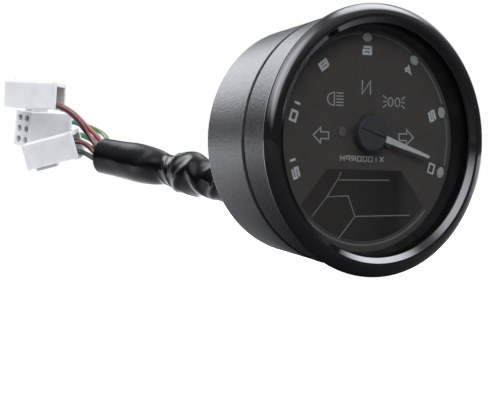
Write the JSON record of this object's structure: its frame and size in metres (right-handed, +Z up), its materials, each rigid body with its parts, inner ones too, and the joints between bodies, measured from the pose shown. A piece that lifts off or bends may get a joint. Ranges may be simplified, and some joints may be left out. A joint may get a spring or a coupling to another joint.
{
  "type": "motorcycle instrument cluster",
  "caption": "Round motorcycle instrument cluster with a rev counter pointer, a display window, warning lamps and a plug-in wiring harness.",
  "frame": {"origin": "middle of the flat back face of the case, on the axis of the round case; the two mounting holes are level, 24 mm above it, and a shallow groove bounds the round pad it is on", "axes": "-Y is the way the dial faces, +Y points out of the back, +Z is up, +X is to the right as a rider sees the dial"},
  "size_m": [0.0916, 0.1924, 0.085],
  "materials": {
    "case_paint": "fine sand-textured satin black",
    "bezel_black": "polished gloss black",
    "seal_rubber": "matt black",
    "lens_clear": "clear polished",
    "dial_black": "dark smoked printed film",
    "inner_black": "matt black",
    "screw_black": "blackened steel",
    "screw_steel": "zinc plated",
    "guide_white": "milky white",
    "lcd_dark": "dark negative display, glossy",
    "tin": "tinned leads",
    "board_green": "green solder mask",
    "lamp_white": "lamp packages",
    "chip_black": "moulded epoxy",
    "motor_black": "black nylon",
    "gear_white": "natural acetal",
    "magnet_grey": "sintered ferrite",
    "needle_white": "white painted",
    "cap_grey": "dark grey satin",
    "brass": "machined",
    "button_rubber": "matt black",
    "sleeve_black": "glossy black soft vinyl",
    "nylon_white": "natural white nylon, slightly translucent",
    "wire_red": "vinyl",
    "wire_dark_red": "vinyl",
    "wire_black": "vinyl",
    "wire_yellow": "vinyl",
    "wire_teal": "vinyl",
    "wire_white": "vinyl",
    "wire_green": "vinyl",
    "wire_blue": "vinyl",
    "wire_orange": "vinyl",
    "wire_brown": "vinyl",
    "wire_dark_green": "vinyl",
    "wire_pink": "vinyl"
  },
  "bodies": {
    "case": {"rear_housing": "case_paint", "front_ring": "case_paint", "seam_gasket": "seal_rubber", "bezel": "bezel_black", "lens": "lens_clear", "lens_gasket": "seal_rubber", "dial_spacer": "inner_black", "dial_plate": "dial_black", "dial_screws": "screw_black", "light_guide": "guide_white", "lcd_panel": "lcd_dark", "lcd_backlight": "guide_white", "lcd_pins": "tin", "main_board": "board_green", "board_screws": "screw_steel", "indicator_lamps": "lamp_white", "board_chips": "chip_black", "motor_case": "motor_black", "motor_cover": "motor_black", "threaded_inserts": "brass", "rear_screws": "screw_steel", "cable_grommet": "seal_rubber", "button_bush": "inner_black", "button_switch": "chip_black", "board_header": "nylon_white", "cable_sleeve": "sleeve_black", "connector_top": "nylon_white", "terminals_top": "brass", "connector_side": "nylon_white", "terminals_side": "brass", "connector_front": "nylon_white", "terminals_front": "brass", "wire_red": "wire_red", "wire_dark_red": "wire_dark_red", "wire_black": "wire_black", "wire_yellow": "wire_yellow", "wire_teal": "wire_teal", "wire_white": "wire_white", "wire_green": "wire_green", "wire_blue": "wire_blue", "wire_orange": "wire_orange", "wire_brown": "wire_brown", "wire_dark_green": "wire_dark_green", "wire_pink": "wire_pink"},
    "pointer": {"pointer_shaft": "gear_white", "needle": "needle_white", "hub_cap": "cap_grey"},
    "idler": {"idler_gear": "gear_white"},
    "rotor": {"motor_rotor": "magnet_grey"},
    "button": {"mode_button": "button_rubber"}
  },
  "joints": [
    {"name": "pointer_sweep", "type": "hinge", "parent": "case", "child": "pointer", "pos_m": [0, -0.0385, 0.0023], "axis": [0, -1, 0], "range_deg": [0, 216]},
    {"name": "idler_spin", "type": "hinge", "parent": "case", "child": "idler", "pos_m": [0.0048, -0.025, -0.00601], "axis": [0, -1, 0], "range_deg": [-648, 0]},
    {"name": "rotor_spin", "type": "hinge", "parent": "case", "child": "rotor", "pos_m": [-0.00309, -0.023, -0.00889], "axis": [0, -1, 0], "range_deg": [0, 1296]},
    {"name": "button_press", "type": "slide", "parent": "case", "child": "button", "axis": [0, -1, 0], "range_m": [0, 0.0008], "stiffness_N_per_m": 900}
  ],
  "couplings": [
    {"joint": "idler_spin", "follows": "pointer_sweep", "ratio": -3},
    {"joint": "rotor_spin", "follows": "pointer_sweep", "ratio": 6}
  ]
}
